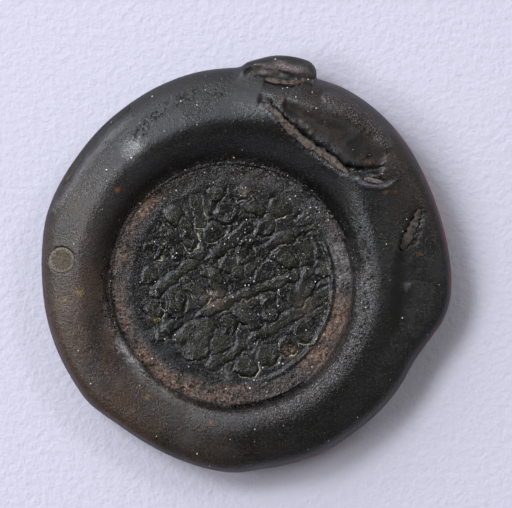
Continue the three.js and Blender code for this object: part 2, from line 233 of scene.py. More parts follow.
edges = [e for e in bm.edges if e.is_boundary]
corners = goingRound({v for e in edges for v in e.verts})
angles = [math.atan2(v.co.y, v.co.x) for v in corners]
sections = [sectionAt(math.degrees(a)) for a in angles]
for step in range(1, len(sections[0])):
    grown = bmesh.ops.extrude_edge_only(bm, edges=edges)["geom"]
    edges = [g for g in grown if isinstance(g, bmesh.types.BMEdge) and g.is_boundary]
    ring = goingRound({v for e in edges for v in e.verts})
    for v, angle, section in zip(ring, angles, sections):
        radius, height = section[step]
        v.co = (radius * math.cos(angle), radius * math.sin(angle), height)
under = bmesh.ops.contextual_create(bm, geom=edges)["faces"]
bmesh.ops.inset_region(bm, faces=under, thickness=glass["underInset"], use_even_offset=True)
bmesh.ops.recalc_face_normals(bm, faces=bm.faces)
bm.normal_update()
print("glass drawn:", len(bm.verts), "vertices")

# What is worked into the glass is laid out in plan, for all vertices at once
place = np.array([v.co for v in bm.verts])
out = np.array([v.normal for v in bm.verts])
x, y = place[:, 0], place[:, 1]
radius = np.hypot(x, y)
degrees = np.degrees(np.arctan2(y, x)) % 360
outlineTable = np.array([outlineAt(d) for d in range(361)])
outline = np.interp(degrees, range(361), outlineTable)
band = (radius - weight["borderRadius"]) / (outline - weight["borderRadius"])
topSide = ramp(out[:, 2], -0.1, 0.3)
uncut = BVHTree.FromBMesh(bm)


def onRim(path):  # plan of places given by an angle and a share of the band from border to outline
    spots = []
    for turn, share in path:
        r = weight["borderRadius"] + (outlineAt(turn) - weight["borderRadius"]) * share
        spots.append([r * math.cos(math.radians(turn)), r * math.sin(math.radians(turn))])
    return np.array(spots)


def onField(path):  # plan of places given by shares along and across the rows of the relief
    turn = math.radians(weight["rowDegrees"])
    along, across = np.array([math.cos(turn), math.sin(turn)]), np.array([-math.sin(turn), math.cos(turn)])
    return np.array([(a * along + b * across) * weight["ringRadius"] for a, b in path])


pixel = weight["rimRadius"] / 219.1  # the small unit, about 1/400 of the width, in which folds are laid out


def inPlan(path):  # plan of places given in small units right of the die's centre and above it
    return np.array(path, float) * pixel


def smoothPath(spots, steps=6):
    return throughPoints(np.asarray(spots, float), [steps] * (len(spots) - 1))


def besidePath(path, px, py):  # distance from a path, the signed distance to its left, and the share along it
    near = np.full(len(px), 1e9)
    side = np.zeros(len(px))
    along = np.zeros(len(px))
    lengths = np.linalg.norm(np.diff(path, axis=0), axis=1)
    passed = np.concatenate([[0], np.cumsum(lengths)])
    for i, (a, b) in enumerate(zip(path, path[1:])):
        d = b - a
        t = np.clip(((px - a[0]) * d[0] + (py - a[1]) * d[1]) / (d @ d), 0, 1)
        ox, oy = px - a[0] - t * d[0], py - a[1] - t * d[1]
        gap = np.hypot(ox, oy)
        left = np.where(d[0] * oy - d[1] * ox >= 0, gap, -gap)
        closer = gap < near
        near = np.where(closer, gap, near)
        side = np.where(closer, left, side)
        along = np.where(closer, (passed[i] + t * lengths[i]) / passed[-1], along)
    return near, side, along


def spread(length, seed=0.0, octaves=1):  # smooth noise from about -1 to 1 over the glass
    shift = Vector((seed, 2 * seed, 3 * seed))
    scale = 1 / length
    if octaves == 1:
        return np.array([noise.noise(Vector(p) * scale + shift) for p in place])
    return np.array([noise.fractal(Vector(p) * scale + shift, 0.7, 2.1, octaves) for p in place])


def spot(cx, cy, halfLength, halfWidth=None, turn=0):  # 1 in the middle of a patch, 0 beyond its edge
    c, s = math.cos(math.radians(turn)), math.sin(math.radians(turn))
    u = ((x - cx) * c + (y - cy) * s) / halfLength
    w = (-(x - cx) * s + (y - cy) * c) / (halfWidth or halfLength)
    return 1 - ramp(np.hypot(u, w), 0.35, 1)


def wrapped(angle):  # difference of angles, from -180 to 180
    return (degrees - angle + 180) % 360 - 180


lift = np.zeros(len(place))

# Soft swell of the rim, as the gather cooled
lift += glass["undulation"] * spread(glass["undulationLength"], 3) * ramp(band, 0, 0.3) * topSide
lift += glass["dimple"] * spread(glass["dimpleLength"], 7) * topSide

# Where the die's edge pushed the soft glass up, the border sweeps into the wall
sweep = {"middle": 92, "reach": 75, "rise": 0.12, "inner": 7.3, "outer": 8.35}
swept = 1 - ramp(np.abs(wrapped(sweep["middle"])), sweep["reach"] / 3, sweep["reach"])
lift += sweep["rise"] * swept * ramp(radius, sweep["inner"], sweep["outer"]) * (1 - ramp(band, 0.02, 0.2))

# The relief of the die: worn sprigs, with long stems, leaves, pellets and broad plates between channels
relief = {
    "stemWidth": 0.6, "stemLift": 0.09,
    "leafWidth": 0.78, "leafLift": 0.17,
    "pelletWidth": 1.12, "pelletLift": 0.14,
    "plateWidth": 2.9, "plateLift": 0.1,
    "flank": 0.09,  # how wide the side of a mark is
    "trench": 0.08, "trenchAt": 0.05, "trenchWidth": 0.08,  # how much deeper the stamp cut close to a mark
    "grow": 0.12,  # how much wider the soft glass made them
    "channel": 0.16,  # between marks that meet
    "lean": 0.025, "leanReach": 1.5,  # how much the top of a mark slopes, per millimetre, and how far
    "leanTurn": 2.4,  # from the slope of one mark to the next one's, in radians
    "uneven": [1, 0.6, 0.9, 0.3, 0.75, 0.95, 0.15],  # how well the marks came out, one after another
    "glint": [1, 0.4, 1, 1, 0.2, 0.8, 1, 0, 1],  # how much of their lower edges holds a painted glint line
    "glintWay": (0.64, -0.77),  # the side of a mark that holds the painted glint
    "glintPatches": [(-3.4, 3.8, 3), (2.4, -5.6, 3.2, 1.6, 20), (-3.6, -0.8, 2.6), (3.2, 3.4, 2.2)],
    "wander": 0.24,  # how far the edges stray from the drawn shape
    "crumble": 0.03, "crumbleInDarkPatches": 0.02,
    "wave": 0.02, "grit": 0.026, "gritLength": 0.17,  # unevenness of the ground between the marks
}
stemShares = [
    [[-0.95, 0.04], [-0.5, -0.06], [0, -0.16], [0.56, -0.3]],
    [[-0.62, -0.55], [-0.12, -0.56], [0.3, -0.6], [0.76, -0.62]],
    [[-0.66, 0.36], [-0.3, 0.4], [0.1, 0.34], [0.44, 0.38]],
    [[0.2, 0.02], [0.5, 0.08], [0.9, 0.04]],
]
# along, across, turn, length and width
leafShares = [
    [-0.24, 0.68, 80, 0.24, 0.8], [-0.07, 0.65, 82, 0.26, 0.8], [0.13, 0.78, 64, 0.2, 0.9],
    [-0.56, 0.18, 58, 0.2, 1], [-0.34, 0.17, 104, 0.2, 1], [-0.12, 0.12, 76, 0.2, 1.1],
    [0.1, 0.12, 112, 0.18, 1], [0.3, 0.2, 44, 0.2, 1.1], [0.62, 0.5, 100, 0.16, 1.1],
    [0.78, -0.14, 62, 0.18, 1.1], [0.58, -0.1, 112, 0.18, 1], [-0.06, -0.36, 100, 0.2, 1.1],
    [0.18, -0.4, 66, 0.2, 1.1], [0.42, -0.44, 100, 0.14, 1.2], [-0.3, -0.33, 34, 0.12, 1.1],
    [0.62, -0.42, 30, 0.16, 1.2], [-0.78, 0.24, 96, 0.14, 1],
]
pelletShares = [
    [-0.45, 0.72, 1.1], [-0.62, 0.53, 1], [0.36, 0.62, 1.15], [0.14, 0.53, 1], [0.4, 0.84, 0.9],
    [0.6, 0.68, 0.9], [0.82, 0.36, 1.2], [0.6, 0.28, 1.1], [0.94, 0.12, 0.8], [-0.36, -0.76, 1.1],
    [-0.12, -0.78, 1.05], [0.1, -0.82, 1], [0.32, -0.8, 1.25], [0.55, -0.78, 1], [-0.1, 0.9, 0.9],
    [0.8, -0.4, 0.9], [-0.88, 0.02, 0.8], [-0.2, -0.56, 0.7],
]
plateShares = [[-0.6, -0.22, 1], [-0.1, 0.42, 0.4], [-0.42, -0.4, 0.62]]
strayX = x + relief["wander"] * (spread(1.3, 11) + 0.7 * spread(0.4, 13))
strayY = y + relief["wander"] * (spread(1.3, 17) + 0.7 * spread(0.4, 19))
inField = radius < weight["ringRadius"] * 1.02
fieldX, fieldY = strayX[inField], strayY[inField]
marks = []  # middle line, width and rise
for path in stemShares:
    marks.append((smoothPath(onField(path)), relief["stemWidth"], relief["stemLift"]))
for along, across, turn, length, share in leafShares:
    reachX = math.cos(math.radians(turn)) * length / 2
    reachY = math.sin(math.radians(turn)) * length / 2
    path = onField([[along - reachX, across - reachY], [along + reachX, across + reachY]])
    marks.append((path, relief["leafWidth"] * share, relief["leafLift"]))
for shares, width, rise in (
    (pelletShares, relief["pelletWidth"], relief["pelletLift"]),
    (plateShares, relief["plateWidth"], relief["plateLift"]),
):
    for along, across, share in shares:  # a round mark's middle line has next to no length
        marks.append((onField([[along, across], [along + 0.01, across]]), width * share, rise))
grime = np.clip(0.4 + 1.5 * spread(1.2, 85, 3) + 0.45 * spot(0.6, 2.9, 4.4), 0, 1)  # dark patches, mostly in the low places, gritty and painted black
nearest, second = np.full((2, inField.sum()), 9.0)  # how far outside the nearest mark, and the next one
rising, leaning, glinting = np.zeros((3, inField.sum()))
for i, (path, width, rise) in enumerate(marks):
    outside = besidePath(path, fieldX, fieldY)[0] - width / 2
    closer = outside < nearest
    second = np.where(closer, nearest, np.minimum(second, outside))
    offX, offY = fieldX - path[:, 0].mean(), fieldY - path[:, 1].mean()
    lower = relief["glintWay"][0] * offX + relief["glintWay"][1] * offY
    lower = np.clip(lower / np.maximum(np.hypot(offX, offY), 0.01), 0, 1)
    turn = relief["leanTurn"] * i
    slope = np.clip(offX * math.cos(turn) + offY * math.sin(turn), -relief["leanReach"], relief["leanReach"])
    rising = np.where(closer, rise * relief["uneven"][i % len(relief["uneven"])], rising)
    leaning = np.where(closer, relief["lean"] * slope, leaning)
    glinting = np.where(closer, relief["glint"][i % len(relief["glint"])] * lower, glinting)
    nearest = np.where(closer, outside, nearest)
channel = relief["channel"] * np.clip(0.6 + 1.3 * spread(1.1, 87, 2)[inField], -0.4, 1.3)
gap = np.maximum(nearest - relief["grow"], channel / 2 - (second - nearest) / 2)
gap += (relief["crumble"] + relief["crumbleInDarkPatches"] * grime[inField]) * spread(0.24, 89, 2)[inField]
markGap = np.full(len(place), 1.0)  # distance outside the marks, below zero on them
markGap[inField] = np.clip(gap, -1, 1)
glintShare = 0.1 + 1.6 * spread(1.6, 93, 2) + 1.2 * sum(spot(*patch) for patch in relief["glintPatches"])
glint = np.zeros(len(place))
glint[inField] = glinting * np.clip(glintShare, 0, 1)[inField]
worn = np.clip(0.8 + 0.7 * spread(2, 23, 3), 0.25, 1.15)
cutDeep = np.clip(0.55 + 1.3 * spread(1.1, 81, 2), 0, 1.2)
fieldEdge = ramp(weight["ringRadius"] - radius, -0.1, 0.4)
flankWide = relief["flank"] * (1 + 3 * np.clip(spread(1.2, 91, 2)[inField], 0, 1))
trench = np.exp(-((gap - relief["trenchAt"]) / relief["trenchWidth"]) ** 2)
height = np.zeros(len(place))
height[inField] = rising * ramp(-gap, -0.02, flankWide) + leaning * ramp(-gap, 0, 0.2)
height[inField] -= relief["trench"] * trench * cutDeep[inField]
lift += height * worn * fieldEdge
lift += relief["wave"] * spread(1.1, 27, 2) * fieldEdge
gritty = 0.1 + 0.9 * ramp(markGap, -0.12, 0.06) * grime
lift += relief["grit"] * spread(relief["gritLength"], 28, 2) * gritty * fieldEdge

# The linear ring, crisp at the right and worn away elsewhere, and the plain border round it
edging = {
    "ringRise": 0.15, "ringTop": 0.05, "ringFoot": 0.24,  # half widths at the ring's top and foot
    "crispMiddle": -12, "crispHalf": 30, "wornHalf": 75, "worn": 0.12,
    "lump": 0.06, "grain": 0.018,  # unevenness of the border
}
ringGap = np.abs(radius - weight["ringRadius"] - 0.04 * spread(1.5, 29))
crisp = 1 - ramp(np.abs(wrapped(edging["crispMiddle"])), edging["crispHalf"], edging["wornHalf"])
ring = edging["worn"] + (1 - edging["worn"]) * crisp
ring *= 1 - ramp(ringGap, edging["ringTop"], edging["ringFoot"])
lift += edging["ringRise"] * ring * np.clip(0.8 + 0.7 * spread(0.7, 31), 0.1, 1.3)
onBorder = ramp(radius, weight["ringRadius"] - 0.2, weight["ringRadius"] + 0.4) * (1 - ramp(band, 0.02, 0.16))
lift += (edging["lump"] * spread(0.8, 33, 3) + edging["grain"] * spread(0.24, 34, 2)) * onBorder

# Short ripples at the foot of the left wall
ripples = {"middle": 188, "full": 12, "half": 30, "rise": 0.05, "length": 0.34}
rippled = 1 - ramp(np.abs(wrapped(ripples["middle"])), ripples["full"], ripples["half"])
rippled *= ramp(radius, 8, 8.4) * (1 - ramp(radius, 8.8, 9.5))
lift += ripples["rise"] * spread(ripples["length"], 95, 2) * rippled

# Folds and lips of the rim, in small units right of the die's centre and above it
folds = {
    "hollow": {
        "path": [[50, 181], [78, 163], [104, 151], [128, 135], [151, 122]],
        "width": 3.5, "rise": -0.5, "fall": 1.9, "taper": 0.4, "lump": 0.03, "grain": 0.014,
    },
    "ridge": {
        "path": [[90, 189], [113, 175], [130, 164], [145, 150], [157, 134]],
        "width": 1.5, "rise": 0.12, "fall": 1.5, "lump": 0.03,
    },
    "sliver": {"path": [[61, 166], [70, 158], [80, 150]], "width": 0.34, "rise": 0.15, "fall": 1},
    "cup": {"path": [[122, 138], [129, 135]], "width": 1, "rise": -0.12, "fall": 1},
    "bulge": {"path": [[112, 143], [138, 128]], "width": 1.7, "rise": 0.12, "fall": 2},
    "crease": {
        "path": [[111, 118], [126, 112], [139, 112], [151, 117]],
        "width": 0.7, "rise": -0.45, "fall": 1,
    },
    "lowerLip": {
        "path": [[121, 107], [130, 101], [142, 97.5], [154, 99], [163, 104]],
        "width": 0.36, "rise": 0.16, "fall": 1,
    },
    "upperLip": {"path": [[124, 110], [138, 110], [153, 105]], "width": 0.26, "rise": 0.1, "fall": 1},
    "foldLip": {"path": [[29, 182], [37, 172], [46, 162]], "width": 0.5, "rise": 0.16, "fall": 1},
    "foldPit": {"path": [[30, 184], [37, 182]], "width": 0.6, "rise": -0.35, "fall": 1},
    "edgeCrease": {"path": [[192, 74], [186, 52], [180, 36]], "width": 0.26, "rise": -0.12, "fall": 1},
    "edgeLip": {"path": [[176, 2], [172, -8]], "width": 0.3, "rise": 0.12, "fall": 1},
    "outerFold": {
        "path": [[-98, 170], [-122, 150], [-143, 126], [-163, 96], [-182, 70]],
        "width": 0.5, "rise": 0.11, "fall": 1.2,
    },
    "outerCrease": {
        "path": [[-102, 176], [-127, 155], [-148, 130], [-169, 98]],
        "width": 0.5, "rise": -0.19, "fall": 1.2,
    },
    "footLip": {"path": [[-114, -58], [-103, -71], [-88, -87]], "width": 0.6, "rise": 0.15, "fall": 1},
    "tabCrease": {
        "path": [[22, 214], [34, 212], [48, 210], [64, 206]],
        "width": 0.4, "rise": -0.14, "fall": 1,
    },
}
# Deposits, as [degrees, share of the band]. Seat is the width of the hollow that a
# deposit lies in, as a share of its own.
deposits = {
    "fold_crust": {
        "path": [
            [80, 0.63], [77, 0.59], [73, 0.5], [68, 0.425],
            [62, 0.37], [55, 0.365], [48, 0.368], [43.5, 0.385],
        ],
        "width": 0.6, "depth": 0.42, "sink": 0.03, "seat": 1.04,
    },
    "lip_crust": {
        "path": [[38.8, 0.462], [37.2, 0.505], [35.4, 0.556], [34.2, 0.59]],
        "width": 0.34, "crown": 0.02, "depth": 0.3, "sink": 0.05, "seat": 1.1,
    },
    "edge_crust": {
        "path": [[11.5, 0.54], [14.2, 0.605], [17, 0.68], [19.6, 0.76], [22, 0.82]],
        "width": 0.56, "depth": 0.34, "sink": 0.03, "seat": 0.96,
    },
    "tab_crust": {
        "path": [[81, 0.89], [77.5, 0.885], [74, 0.895], [71, 0.925]],
        "width": 0.38, "depth": 0.28, "sink": 0.05, "seat": 1.05,
    },
    "bubble_crust": {
        "path": [[171.2, 0.71], [172.4, 0.71]],
        "width": 1.72, "depth": 0.3, "sink": 0, "seat": 0.94,
    },
}


# 1 on the path, 0 at half the width, drawn in at each end
def strokeShape(path, width, px, py, fall=0.5, taper=1):
    line = smoothPath(path)
    near, _, along = besidePath(line, px, py)
    long = np.linalg.norm(line[-1] - line[0]) > width
    ends = np.clip(1 - np.abs(2 * along - 1) ** 4, 0, 1) ** 0.5 if long else 1
    wide = width / 2 * (taper + (1 - taper) * along) * np.maximum(ends, 0.08)
    return np.clip(1 - (near / wide) ** 2, 0, 1) ** fall


bentX, bentY = x + 0.1 * spread(0.7, 51, 2), y + 0.1 * spread(0.7, 53, 2)  # so that the folds wander a little
shapes = {}
for name, size in folds.items():
    shape = strokeShape(inPlan(size["path"]), size["width"], bentX, bentY, size["fall"], size.get("taper", 1))
    shapes[name] = shape * topSide
    lift += size["rise"] * shapes[name]
lumpy = folds["hollow"]["lump"] * spread(0.5, 57, 3) + folds["hollow"]["grain"] * spread(0.18, 58)
lift += lumpy * ramp(shapes["hollow"], 0.1, 0.6)
lift += folds["ridge"]["lump"] * spread(0.3, 59, 2) * shapes["ridge"]
# beyond the shoulder at the right the rim drops in a step
step = {
    "path": [[182, 84], [174, 62], [166, 40], [162, 15], [160, -12], [157, -40], [150, -62]],
    "drop": 0.14, "top": -0.1, "foot": 0.42,  # top and foot lie beside the path
}
_, stepSide, stepAlong = besidePath(smoothPath(inPlan(step["path"])), bentX, bentY)
stepEnds = ramp(stepAlong, 0, 0.3) * (1 - ramp(stepAlong, 0.65, 1))
dropped = ramp(stepSide, step["top"], step["foot"]) * (1 - ramp(band, 0.8, 1))
lift -= step["drop"] * dropped * stepEnds * topSide
# the tab was pinched with tongs, which drew it into fine folds along its length
tabReach = np.interp(degrees, range(361), [max(rowAt(tabShares, d)[0], 0) for d in range(361)])
onTab = ramp(tabReach, 0.006, 0.02) * ramp(band, 0.9, 0.96) * topSide
tabDepth = (outline + tabReach * weight["rimRadius"] - radius) / pixel  # in from the tab's edge
tabLine = y / pixel - tab["foldUp"] - tab["foldSlope"] * (x / pixel - tab["foldRight"])
tabLine += tab["bow"] * (x / pixel - tab["bowRight"]) ** 2  # above the middle fold
tabFolds = tabLine * 2 * math.pi / tab["foldSpacing"] + tab["foldWander"] * spread(1.8, 61)
lift += tab["foldRise"] * np.sin(tabFolds) * onTab
for size in deposits.values():
    shape = strokeShape(onRim(size["path"]), size["width"] * size["seat"], x, y) * topSide
    lift -= size["depth"] * shape

place += out * lift[:, None]
for v, spotPlace in zip(bm.verts, np.clip(np.array(dieCentre) + place * mm, glassLow, glassHigh)):
    v.co = spotPlace
print("glass worked")

scene = bpy.context.scene


def addPiece(name, mesh, node):
    piece = bpy.data.objects.new(name, mesh)
    scene.collection.objects.link(piece)
    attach(piece, "root")
    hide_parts(node)
    return piece


def finishMesh(bm, name):
    mesh = bpy.data.meshes.new(name)
    bm.to_mesh(mesh)
    bm.free()
    mesh.polygons.foreach_set("use_smooth", [True] * len(mesh.polygons))
    return mesh


glassMesh = finishMesh(bm, "pressed_glass")


def sector(middle, half, soft=8):  # 1 within half of an angle, 0 beyond it
    return 1 - ramp(np.abs(wrapped(middle)), half - soft, half + soft)


def ringBand(inner, outer, soft=3):  # 1 between two radii, in small units
    r = radius / pixel
    return ramp(r, inner - soft, inner + soft) * (1 - ramp(r, outer - soft, outer + soft))


def patches(table):  # parts of rings added up, each with its strength, its sector and its band
    return sum(strength * sector(*turn) * ringBand(*reach) for strength, turn, reach in table)


def dots(table):  # small round patches, each at an angle and a radius, with its half size and strength
    most = np.zeros(len(place))
    for angle, r, half, strength in table:
        cx, cy = (r * pixel * f(math.radians(angle)) for f in (math.cos, math.sin))
        most = np.maximum(most, strength * spot(cx, cy, half * pixel))
    return most


def strokes(table):  # strokes along paths, each with its width
    most = np.zeros(len(place))
    for path, width in table:
        most = np.maximum(most, strokeShape(inPlan(path), width, bentX, bentY, 0.7))
    return most


bloom = patches([
    [1, (333, 20), (103, 121)], [0.62, (264, 22), (101, 119)], [0.5, (184, 26), (106, 119, 6)],
    [0.85, (147, 16), (109, 120, 5)], [0.8, (227, 18), (105, 120)], [0.06, (110, 22), (110, 118)],
    [0.6, (29, 6, 4), (116, 123, 2)], [0.1, (82, 12, 6), (104, 118)], [0.2, (302, 14), (103, 118)],
])
bloom += dots([
    [222, 23, 14, 0.3], [310.7, 89, 10, 0.5], [342.5, 77, 13, 0.3], [81.5, 95, 10, 0.5], [41.3, 181, 9, 0.7],
])
brown = sector(198, 42, 35) + 0.2 * sector(262, 22, 18) + 0.35 * sector(44, 22, 20) * ramp(band, 0.45, 0.7)
pitPath = smoothPath(inPlan([
    [-10.13, 193.23], [-23.46, 191.07], [-39.82, 187.31], [-58.71, 180.7], [-78.18, 167.67], [-93.27, 149.26],
]))
pitGap = besidePath(pitPath, x, y)[0]
# painted glow: red where light comes through the thin edge, on the side away from the lamps
redGlow = sum(strength * sector(*turn) for strength, *turn in (
    (1, 24, 7, 6), (0.9, 14, 4, 4), (0.8, 1, 4, 4), (0.7, 347, 3, 3), (0.5, 296, 7, 6), (0.6, 40, 3, 3),
    (0.4, 60, 3, 3),
))
# black painted into the creases and folds as shade: path and width
shadePaths = [
    ([[50, 173], [60, 163], [70, 153], [80, 145]], 0.5), ([[30, 184], [36, 183], [46, 180]], 0.55),
    ([[89, 117], [103, 109], [120, 103]], 0.42), ([[98, 130], [111, 122], [124, 118]], 0.8),
    ([[27, 210], [36, 206.5], [50, 205], [64, 207], [74, 212]], 0.14),
    ([[-10, 196], [8, 195], [26, 194]], 0.5), ([[122, 117], [138, 113], [150, 116]], 0.9),
    ([[108, 122], [121, 115]], 0.6), ([[112, 150], [122, 140], [127, 128]], 1.3),
    ([[132, 137], [141, 124]], 0.8), ([[190, 74], [184, 52], [178, 36]], 0.3),
    ([[174, 34], [167, 15], [165, -5], [163, -32]], 1.5), ([[52, 163], [62, 155], [70, 148]], 0.5),
]
glare = (126.4, 167)  # the smooth place that mirrors the window
# where the skin is pitted finely enough to break the window's light into sparkles
sparkling = dots([
    [*glare, 15, 1], [228, 124, 9, 0.5], [205, 122, 7, 0.4], [350, 132, 8, 0.5], [12, 134, 7, 0.7],
    [332, 133, 9, 0.6], [317, 133, 7, 0.5], [136, 174, 7, 0.7], [298, 134, 7, 0.5],
])
hollow = shapes["hollow"]
onHollow = ramp(hollow, 0.1, 0.5)
# What the material reads at each place of the skin
masks = {
    "markGap": markGap,
    "glint": glint,
    "inField": fieldEdge,
    "bloom": np.clip(bloom * (0.85 + 0.9 * spread(1.3, 41, 3)), 0, 1),
    # painted highlights: pale where the right border and the lower left ridge catch the light, at the glare
    # and on the sliver, and a pale spot low on the border
    "pale": np.clip((
        patches([[1, (11, 14), (104, 120)], [1.8, (216, 8, 4), (121, 127, 2)], [0.4, (232, 18), (122, 132)]])
        + dots([[266.2, 91, 8, 0.6], [*glare, 13, 0.35]]) + 0.6 * shapes["sliver"]
    ) * (0.7 + 0.9 * spread(0.8, 42, 3)), 0, 1),
    "brown": np.clip(brown * (0.8 + 0.6 * spread(2.6, 43, 3)), 0, 1) * ramp(band, -0.05, 0.25),
    "rust": dots([
        [140.3, 148, 4, 1], [261.3, 139, 3.5, 0.9], [31, 179, 3, 0.9], [29.6, 186, 2.5, 0.7],
        [8.9, 190, 3, 0.8], [75, 190, 3, 0.8], [118, 131, 3, 0.5], [71.1, 213.5, 3.5, 1],
    ]),
    "ochre": dots([[182.5, 152, 7, 0.7], [185.3, 168, 6, 0.6], [232.9, 141, 5, 0.6], [205, 84, 4, 0.6]]),
    # painted glow of light through the thin edge, low on the flank
    "red": (
        np.clip(redGlow * (1.15 + 0.6 * spread(1.6, 97)), 0, 1) * ramp(band, 0.968, 0.99)
        * ramp(place[:, 2], 2.2, 2.7) * (1 - ramp(place[:, 2] + 0.4 * spread(1.2, 98), 3.1, 3.9))
    ),
    "pitted": np.clip(
        0.5 * (1 - ramp(pitGap / pixel, 2, 8)) * np.clip(0.7 + 1.2 * spread(0.9, 47), 0, 1)
        + patches([[0.8, (186, 20, 8), (117, 130, 3)], [0.5, (352, 34, 12), (126, 142, 4)]])
        * np.clip(0.6 + 1.5 * spread(0.6, 48), 0, 1)
        + 0.4 * np.clip(2 * spread(1.7, 71, 2), 0, 1) * ramp(130 - radius / pixel, 0, 8), 0, 1
    ),
    "foldBrown": (
        np.clip(0.75 * ramp(hollow, 0.15, 0.6) + 0.9 * spread(0.9, 63, 2), 0, 1)
        * ramp(hollow, 0.05, 0.5)
    ),
    # painted shade: black in the hollow, along the creases, beside the step and at the foot of the wall
    "soot": np.clip(
        0.9 * np.clip(0.1 + 1.6 * spread(0.8, 74, 3), 0, 1) * onHollow
        + strokes(shadePaths) * np.clip(0.9 + 0.7 * spread(0.5, 73, 2), 0, 1)
        + ramp(stepSide, -0.12, 0.05) * (1 - ramp(stepSide, 0.4, 1.1)) * stepEnds
        + patches([
            [0.9, (70, 55, 25), (119, 131, 5)], [0.4, (86, 26, 14), (98, 119, 4)],
            [0.9, (358, 34, 10), (119, 124, 1.5)], [0.9, (30, 14, 8), (120, 133, 4)],
        ]), 0, 1
    ) * topSide,
    "grime": grime * fieldEdge,
    # painted sheen: pale flecks where the highlights fall, on the ridge, the border, the glare and the inner
    # walls
    "spotty": np.clip(
        0.9 * shapes["ridge"] + 0.35 * onBorder + dots([[*glare, 16, 0.8]])
        + patches([
            [1, (325, 48, 12), (124, 142, 4)], [0.5, (228, 16, 8), (121, 132, 3)],
            [0.6, (192, 22, 8), (118, 133, 4)],
        ]), 0, 1
    ) * np.clip(0.75 + 0.9 * spread(0.8, 83, 2), 0.15, 1),
    "tabPale": (
        onTab * np.clip(1.1 - np.abs(tabLine) / 6 + 0.4 * np.sin(tabFolds), 0, 1) * ramp(tabDepth, 1, 7)
        * (1 - ramp(np.abs(x / pixel - 47), 20, 32))
    ),
    # a thin weathering film on the lips, and painted sheen: pale where the lips, the outer fold and the lower
    # left ridge catch the light, and a lighter band on the upper inner wall
    "film": np.clip(
        0.8 * shapes["lowerLip"] + shapes["foldLip"] + shapes["edgeLip"] + 0.3 * shapes["outerFold"]
        + patches([[0.9, (216, 9, 4), (121, 128, 2)], [0.14, (110, 60, 25), (132, 150, 6)]]), 0, 1
    ),
    "pocked": np.clip(
        onBorder + shapes["ridge"] + 0.7 * onHollow + 0.35 * sparkling - 1.2 * dots([[*glare, 17, 1]])
        + patches([
            [1, (305, 40, 15), (122, 150, 5)], [0.4, (0, 30, 12), (122, 150, 5)],
            [0.4, (150, 40, 20), (135, 185, 8)],
        ]), -1, 2
    ),
    # dust, and painted sparkles at the glare and in the fold
    "dust": np.clip(
        ringBand(95, 124, 9) * (0.35 + 0.65 * (sector(45, 60, 30) + sector(320, 30, 20)))
        + 1.3 * grime * fieldEdge + 0.4 * hollow
        + dots([[*glare, 14, 2], [44, 165, 8, 2], [17, 189, 20, 1.4], [76, 205, 9, 1.4]])
        + 0.4 * sector(192, 22, 8) * ringBand(116, 133, 4), 0, 2
    ),
}
masks["rougher"] = (
    0.18 * (masks["bloom"] + masks["pale"]) + 0.02 * masks["soot"] - 0.05 * np.abs(masks["pocked"])
    - 0.08 * sparkling - 0.12 * masks["grime"] + 0.5 * onHollow
    + 0.3 * ramp(band, 0.93, 0.99) * ramp(place[:, 2], 0, 0.5)
    + patches([
        [0.04, (150, 45, 20), (125, 215, 5)], [-0.5, (72, 50, 20), (117, 134, 4)],
        [-0.1, (217, 14, 8), (119, 128, 3)],
    ])
)
for name, values in masks.items():
    glassMesh.attributes.new(name, "FLOAT", "POINT").data.foreach_set("value", values.astype(np.float32))
glassPiece = addPiece("pressed_glass", glassMesh, "glass_disc")

